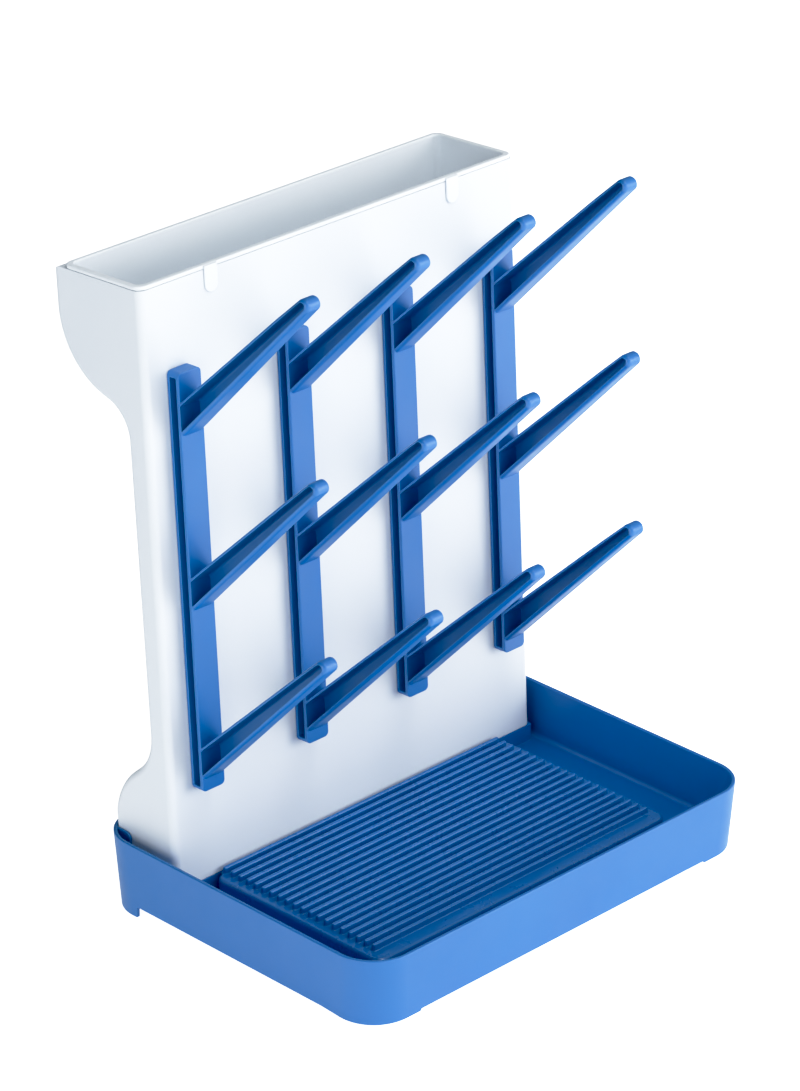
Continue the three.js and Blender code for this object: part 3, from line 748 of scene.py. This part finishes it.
def shoulder_side(_inset):
    """Everything below the top edge, rounded over at the back."""
    rounded = arc((BIN_BACK - SHOULDER, TOWER_TOP - SHOULDER), SHOULDER, 90, 0, 8)
    return [(-5, -30), (-5, TOWER_TOP), *rounded, (BIN_BACK, -30)]


def cover_outline(clearance):
    def outline(inset):
        half = COVER_HALF_WIDTH + clearance
        return rounded_rectangle(
            (-half, COVER_BOTTOM - clearance), (half, COVER_TOP + clearance),
            COVER_RADIUS + clearance, inset, 8)

    return outline


def column_back(z):
    rise = (z - COVER_BOTTOM) / (COVER_TOP - COVER_BOTTOM)
    return COLUMN_BACK_FOOT + (COLUMN_BACK_TOP - COLUMN_BACK_FOOT) * rise


def screw_places():
    return [(x, z) for z in SCREW_ROWS for x in SCREW_COLUMNS]


def rail_middle(index):
    return RAIL_SHIFT + (index - (RAIL_COUNT - 1) / 2) * RAIL_PITCH


def prong(index, z, clearance):
    x = rail_middle(index)
    wide = PRONG_WIDTH / 2 + clearance
    tall = PRONG_TALL / 2 + clearance
    return block((x - wide, -GAP - 1, z - tall), (x + wide, PRONG_LENGTH, z + tall))


def foot_waste(clearance):
    """Waste around the foot, whose back corners follow the rounded corners of the tray."""
    waste = cut(
        block((-REACH, -REACH, -60), (REACH, REACH, COLUMN_FOOT_Z)),
        tray_prism(TRAY_WALL + clearance, -70, COLUMN_FOOT_Z + 10))
    waste.data.transform(Matrix.Rotation(TRAY_TILT - TOWER_TILT, 4, "X"))
    return waste


def below_seat():
    waste = block((-REACH, -REACH, -REACH), (REACH, REACH, GAP))
    waste.data.transform(Matrix.Rotation(TRAY_TILT - TOWER_TILT, 4, "X"))
    return waste


def tower_shell():
    half = TOWER_WIDTH / 2
    outside = thicken(tower_side, -half, half, (TOWER_EDGE, TOWER_EDGE), "X", 8)
    outside = common(outside, thicken(shoulder_side, -REACH, REACH, axis="X"))
    outside = cut(outside, foot_waste(2 * GAP), below_seat())
    room = half - TOWER_WALL
    hollow = thicken(lambda inset: tower_side(TOWER_WALL + inset), -room, room, (3, 3), "X", 4)
    ledge = block((-REACH, LINER_BACK + GAP, TOWER_TOP - SHOULDER - 2), (REACH, REACH, TOWER_TOP + 30))
    hollow = cut(hollow, ledge, foot_waste(2 * GAP + TOWER_WALL))
    shell = cut(outside, hollow, thicken(cover_outline(GAP), TOWER_WALL + 8, BIN_BACK, axis="Y"))
    bosses = [
        round_rod(place, SCREW_BOSS_DIAMETER, TOWER_WALL / 2,
                  column_back(place[1]) - COVER_THICKNESS - 2 * GAP)
        for place in screw_places()]
    pilots = [
        round_rod(place, SCREW_SHANK_DIAMETER + 2 * GAP, TOWER_WALL + 1, BIN_BACK)
        for place in screw_places()]
    slots = [prong(index, z, GAP) for index in range(RAIL_COUNT) for z in PRONG_HEIGHTS]
    return cut(join(shell, merge(bosses)), merge(pilots), merge(slots))


def back_cover():
    skin_side = cut(
        thicken(tower_side, -200, 200, axis="X"),
        thicken(lambda inset: tower_side(COVER_THICKNESS + inset), -201, 201, axis="X"))
    panel = common(skin_side, thicken(cover_outline(0), TOWER_WALL + 8, BIN_BACK, axis="Y"))
    sinks = []
    for place in screw_places():
        back = column_back(place[1])
        sinks.append(round_rod(place, SCREW_HEAD_DIAMETER + 2 * GAP, back - 1.4, BIN_BACK))
        sinks.append(round_rod(place, SCREW_SHANK_DIAMETER + 2 * GAP, 0, back - 1))
    return cut(panel, *sinks)


def cover_screw(place):
    """Pan-head screw with a plain cross recess."""
    back = column_back(place[1]) - 0.2
    head = round_rod(place, SCREW_HEAD_DIAMETER, back - SCREW_HEAD_HEIGHT, back, (0, 0.5))
    shank = round_rod(place, SCREW_SHANK_DIAMETER, back - SCREW_LENGTH, back - 0.4, (0.5, 0))
    x, z = place
    arms = [
        block((x - wide, back - 0.6, z - tall), (x + wide, back + 1, z + tall))
        for wide, tall in ((1.5, 0.3), (0.3, 1.5))]
    return cut(join(head, shank), *arms)


# ---------------------------------------------------------------- storage bin
def liner_side(inset, top):
    """Side view of the liner, drawn in by an inset."""
    front = TOWER_WALL + GAP + inset
    back = LINER_BACK - inset
    floor = LINER_FLOOR + inset
    radius = LINER_ARC - inset
    corner = LINER_CORNER - inset
    floor_angle = -math.degrees(math.asin((BIN_ARC_TOP - floor) / radius))
    back_angle = -math.degrees(math.acos((back - BIN_CENTRE[0]) / radius))
    return [
        (back, top), (front, top),
        *arc((front + corner, floor + corner), corner, 180, 270, 8),
        *arc(BIN_CENTRE, radius, floor_angle, back_angle, 16),
    ]


def hook_tab(side):
    """Rounded tongue that hangs from the lip over the front of the tower."""
    x = side * TAB_OFFSET
    half = TAB_WIDTH / 2

    def outline(inset):
        top = LIP_TOP - 0.4 - inset
        return [(x + half - inset, top), (x - half + inset, top),
                *arc((x, TAB_BOTTOM + half), half - inset, 180, 360, 16)]

    tongue = thicken(outline, -GAP - TAB_THICKNESS, -GAP, (0.7, 0), "Y", 5)
    bridge = block(
        (x - half + 0.2, -GAP - 0.4, TOWER_TOP + GAP), (x + half - 0.2, LINER_CORNER, LIP_TOP - 0.4))
    return join(tongue, bridge)


def storage_bin():
    half = TOWER_WIDTH / 2
    room = half - TOWER_WALL - GAP

    def lip_outline(inset):
        return rounded_rectangle((-half, 0), (half, LIP_BACK), LIP_RADIUS, inset, 10)

    lip = thicken(lip_outline, TOWER_TOP + GAP, LIP_TOP, (0, 0.8), "Z", 5)
    liner = common(
        thicken(lambda inset: liner_side(inset, LIP_TOP - 1), -room, room, (3, 3), "X", 5),
        block((-room, TOWER_WALL + GAP, LINER_FLOOR - 1), (room, LINER_BACK, LIP_TOP),
              radius=MOUTH_CORNER))
    inner = room - LINER_WALL
    hollow = common(
        thicken(lambda inset: liner_side(LINER_WALL + inset, LIP_TOP + 5), -inner, inner,
                (2.5, 2.5), "X", 5),
        block((-inner, TOWER_WALL + GAP + LINER_WALL, LINER_FLOOR),
              (inner, LINER_BACK - LINER_WALL, LIP_TOP + 9), radius=MOUTH_CORNER))

    def mouth_outline(inset):
        return rounded_rectangle(
            (-inner, TOWER_WALL + GAP + LINER_WALL), (inner, LINER_BACK - LINER_WALL),
            MOUTH_CORNER, inset, 8)

    mouth_steps = [(LIP_TOP - MOUTH_EDGE - 1, 0.0)]
    for angle in (0, 18, 36, 54, 72, 90):
        turn = math.radians(angle)
        mouth_steps.append(
            (LIP_TOP - MOUTH_EDGE + MOUTH_EDGE * math.sin(turn), -MOUTH_EDGE * (1 - math.cos(turn))))
    mouth_steps.append((LIP_TOP + 2, -MOUTH_EDGE))
    mouth = skin([[(x, y, z) for x, y in mouth_outline(inset)] for z, inset in mouth_steps])
    return cut(join(lip, liner, hook_tab(-1), hook_tab(1)), hollow, mouth)


# ---------------------------------------------------------------- rails with pegs
def peg_half(distance):
    return PEG_ROOT_HALF + (PEG_TIP_HALF - PEG_ROOT_HALF) * distance / PEG_LENGTH


def peg_width(distance):
    share = min(max(distance / PEG_LENGTH, 0), 1)
    return RAIL_WIDTH + (PEG_TIP_WIDTH - RAIL_WIDTH) * share


def peg_section(distance, left, right, low, high, top_edge, lower_edge):
    """Cross-section of a level peg: rounded lightly on top and well rounded below."""
    limit = 0.49 * min(high - low, right - left)
    top_edge = min(top_edge, limit)
    lower_edge = min(lower_edge, limit)
    points = arc((right - top_edge, high - top_edge), top_edge, 0, 90, 6)
    points += arc((left + top_edge, high - top_edge), top_edge, 90, 180, 6)
    points += arc((left + lower_edge, low + lower_edge), lower_edge, 180, 270, 8)
    points += arc((right - lower_edge, low + lower_edge), lower_edge, 270, 360, 8)
    return [(x, -distance, z) for x, z in points]


def peg_body():
    """Level peg with a flat open side and a rounded end. It narrows from its solid side only."""
    left = -RAIL_WIDTH / 2
    loops = []
    for distance in (-20, 0, 40, 80, PEG_STRAIGHT, PEG_LENGTH):
        half = peg_half(distance)
        blend = min(max((distance - PEG_STRAIGHT) / (PEG_LENGTH - PEG_STRAIGHT), 0), 1)
        top_edge = PEG_TOP_EDGE + (PEG_TIP_EDGE - PEG_TOP_EDGE) * blend
        lower_edge = PEG_LOWER_EDGE + (PEG_TIP_EDGE - PEG_LOWER_EDGE) * blend
        right = left + peg_width(distance)
        loops.append(peg_section(distance, left, right, -half, half, top_edge, lower_edge))
    for angle in (12, 24, 36, 48, 60, 70, 79, 86):
        turn = math.radians(angle)
        half = PEG_TIP_HALF * math.cos(turn)
        drawn_in = PEG_TIP_EDGE * (1 - math.cos(turn))
        loops.append(peg_section(
            PEG_LENGTH + PEG_TIP_HALF * math.sin(turn), left + drawn_in, left + PEG_TIP_WIDTH - drawn_in,
            -half, half, PEG_TIP_EDGE, PEG_TIP_EDGE))
    return skin(loops)


def peg_pocket():
    """Room inside a peg, open to the left, with a rounded far end."""
    left = -RAIL_WIDTH / 2
    end_low = PEG_BOTTOM_WALL - PEG_TIP_HALF
    end_high = PEG_TIP_HALF - PEG_TOP_WALL
    radius = (end_high - end_low) / 2
    middle = (end_high + end_low) / 2
    places = [(distance, PEG_BOTTOM_WALL - peg_half(distance), peg_half(distance) - PEG_TOP_WALL)
              for distance in (-20, 0, 40, 80, PEG_LENGTH)]
    for angle in (15, 30, 45, 60, 72, 82, 88):
        turn = math.radians(angle)
        reach = radius * math.cos(turn)
        places.append((PEG_LENGTH + radius * math.sin(turn), middle - reach, middle + reach))
    loops = []
    for distance, low, high in places:
        inner = left + peg_width(distance) - WEB
        corner = min(1.8, (high - low) * 0.45)
        points = [(left - 3, low), *arc((inner - corner, low + corner), corner, 270, 360, 6),
                  *arc((inner - corner, high - corner), corner, 0, 90, 6), (left - 3, high)]
        loops.append([(x, -distance, z) for x, z in points])
    return skin(loops)


def raise_peg(solid, z):
    """Turn a level peg up to its slant and put its root on the front of the rail."""
    solid.data.transform(
        Matrix.Translation((0, -GAP - RAIL_DEPTH, z)) @ Matrix.Rotation(-math.radians(PEG_RISE), 4, "X"))
    return solid


def in_front_of(y):
    return block((-REACH, -REACH, -REACH), (REACH, y, 2 * REACH))


def rail(index):
    half = RAIL_WIDTH / 2
    front = -GAP - RAIL_DEPTH
    heights = [PEG_ROOT_Z - step * PEG_SPACING for step in range(PEGS_PER_RAIL)]
    bar = block((-half, front, RAIL_BOTTOM), (half, -GAP, RAIL_TOP), RAIL_CORNER, (0.6, 0.5), "Y", 6)
    channel = block(
        (-half - 2, front + RAIL_FRONT_WALL, RAIL_BOTTOM + RAIL_CAP),
        (half - WEB, -GAP - RAIL_BACK_WALL, RAIL_TOP - RAIL_CAP), 0.7, (0, 0.6), "X")
    bar = cut(bar, channel)
    pegs = [common(raise_peg(peg_body(), z), in_front_of(front + RAIL_FRONT_WALL / 2)) for z in heights]
    pockets = [common(raise_peg(peg_pocket(), z), in_front_of(front)) for z in heights]
    body = cut(join(bar, *pegs), *pockets)
    body.data.transform(Matrix.Translation((rail_middle(index), 0, 0)))
    return join(body, *[prong(index, z, 0) for z in PRONG_HEIGHTS])


# ---------------------------------------------------------------- pieces
def standing_tray():
    """The tray on its level feet, in millimetres in the rack's own frame."""
    body = tray()
    body.data.transform(TRAY)
    body.data.transform(Matrix.Scale(1 / MM, 4))
    return tray_feet(body)


WORLD = Matrix.Scale(MM, 4)
finish_piece(standing_tray(), "tray_body", "tray", "tray", BLUE, WORLD)
for corner, (pad_x, pad_y) in pad_places().items():
    finish_piece(foot_pad(), f"rubber_foot_{corner}", f"foot_pad_{corner}", "tray", RUBBER,
                 WORLD @ Matrix.Translation((pad_x, pad_y, 0)))
finish_piece(drain_grid(), "ribbed_grid", "drain_grid", "grid", GRID_BLUE, TRAY)
finish_piece(tower_shell(), "tower_body", "tower_shell", "tower", WHITE, TOWER)
finish_piece(back_cover(), "back_panel", "back_cover", "tower", WHITE, TOWER)
for number, screw_place in enumerate(screw_places(), start=1):
    finish_piece(cover_screw(screw_place), f"back_screw_{number}", f"cover_screw_{number}", "tower",
                 STEEL, TOWER)
finish_piece(storage_bin(), "bin_liner", "storage_bin", "bin", BIN_WHITE, TOWER)
for number in range(1, RAIL_COUNT + 1):
    finish_piece(rail(number - 1), f"rail_with_pegs_{number}", f"peg_rail_{number}", f"rail_{number}",
                 BLUE, TOWER)


# ---------------------------------------------------------------- stage, light and camera
FLOOR_SIZE = 16                # metres
FLOOR_SHIFT = 2                # metres behind the rack's middle
FLOOR_SEEN = 1.2               # how strongly the floor glows for the camera
FLOOR_GLOW = 1.4               # and how strongly, at most, for the rack above it
SKY_DIM = 0.12
SKY_BRIGHT = 1.1
BLACK_LEVEL = (0.02, 0.008, 0.0)
WHITE_LEVEL = (1.3, 1.3, 1.3)
SHOULDER_POINTS = ((0.25, 0.295), (0.58, 0.74), (0.78, 0.905))


def soft_light(name, size, power, place, aim, color=(1, 1, 1)):
    data = bpy.data.lights.new(name, "AREA")
    data.shape = "RECTANGLE"
    data.size, data.size_y = size
    data.energy = power
    data.color = color
    light = bpy.data.objects.new(name, data)
    light.location = place
    light.rotation_euler = (Vector(aim) - Vector(place)).to_track_quat("-Z", "Y").to_euler()
    bpy.context.scene.collection.objects.link(light)


def camera():
    data = bpy.data.cameras.new("camera")
    data.lens = CAMERA_LENS
    data.sensor_width = SENSOR_WIDTH
    data.sensor_fit = "HORIZONTAL"
    data.clip_end = FARTHEST_SEEN
    turn = math.radians(CAMERA_TURN)
    rise = math.radians(CAMERA_RISE)
    back = Vector((math.sin(turn) * math.cos(rise), -math.cos(turn) * math.cos(rise), math.sin(rise)))
    right = Vector((math.cos(turn), math.sin(turn), 0))
    up = back.cross(right)
    place = Vector(CAMERA_AIM) + CAMERA_DISTANCE * back
    pose = Matrix.Rotation(TRAY_TILT, 4, "X") @ Matrix((right, up, back)).transposed().to_4x4()
    pose.translation = TRAY @ place
    viewer = bpy.data.objects.new("camera", data)
    viewer.matrix_world = pose
    bpy.context.scene.collection.objects.link(viewer)
    bpy.context.scene.camera = viewer


def fade(tree, vector, direction, source_low, source_high, low, high):
    """Value from low to high while a vector's part along a direction goes between two source values."""
    dot = add_node(tree, "ShaderNodeVectorMath", operation="DOT_PRODUCT")
    tree.links.new(vector, dot.inputs[0])
    dot.inputs[1].default_value = Vector(direction).normalized()
    return remap(tree, dot.outputs["Value"], low, high, source_low, source_high)


def sky():
    """Soft surroundings: bright low down at the front right, dim behind and above."""
    world = bpy.data.worlds.new("studio")
    world.use_nodes = True
    tree = world.node_tree
    background = tree.nodes["Background"]
    background.inputs["Color"].default_value = (0.93, 0.965, 1.0, 1.0)
    direction = add_node(tree, "ShaderNodeTexCoord").outputs["Generated"]
    strength = fade(tree, direction, (0.5, -0.8, -0.25), -0.7, 0.8, SKY_DIM, SKY_BRIGHT)
    tree.links.new(strength, background.inputs["Strength"])
    bpy.context.scene.world = world


def pale_floor():
    """Pale table that glows a little more towards the light, so that hardly any shadow shows."""
    bpy.ops.mesh.primitive_plane_add(size=FLOOR_SIZE, location=(0, FLOOR_SHIFT, 0))
    table = bpy.context.active_object
    table.name = "floor"
    material = bpy.data.materials.new("floor")
    material.use_nodes = True
    tree = material.node_tree
    shader = tree.nodes["Principled BSDF"]
    shader.inputs["Base Color"].default_value = (0.9, 0.9, 0.9, 1)
    shader.inputs["Roughness"].default_value = 0.9
    shader.inputs["Emission Color"].default_value = (1, 1, 1, 1)
    place = add_node(tree, "ShaderNodeNewGeometry").outputs["Position"]
    glow = fade(tree, place, (1, -1, 0), -1.0, 1.0, 0.0, FLOOR_GLOW)
    seen = add_node(tree, "ShaderNodeLightPath").outputs["Is Camera Ray"]
    choice = add_node(tree, "ShaderNodeMix", data_type="FLOAT")
    tree.links.new(seen, choice.inputs[0])
    tree.links.new(glow, choice.inputs[2])
    choice.inputs[3].default_value = FLOOR_SEEN
    tree.links.new(choice.outputs[0], shader.inputs["Emission Strength"])
    table.data.materials.append(material)


def photographic_contrast():
    """Crisp blues, and a soft shoulder that keeps shading in the brightest whites."""
    view = bpy.context.scene.view_settings
    view.view_transform = "Standard"
    view.use_curve_mapping = True
    curves = view.curve_mapping
    curves.black_level = BLACK_LEVEL
    curves.white_level = WHITE_LEVEL
    combined = curves.curves[3].points
    for light_in, light_out in SHOULDER_POINTS:
        combined.new(light_in, light_out)
    curves.update()


def studio():
    photographic_contrast()
    sky()
    soft_light("key", (1.6, 1.2), 29, (1.3, -2.2, 0.7), (0, 0, 0.2))
    soft_light("fill", (1.5, 1.5), 28, (-2.4, -0.5, 0.5), (0, 0, 0.2), (0.93, 0.97, 1.0))
    soft_light("top", (0.7, 0.7), 9.5, (0.2, -0.7, 1.9), (0, 0, 0.1))
    pale_floor()


studio()
camera()
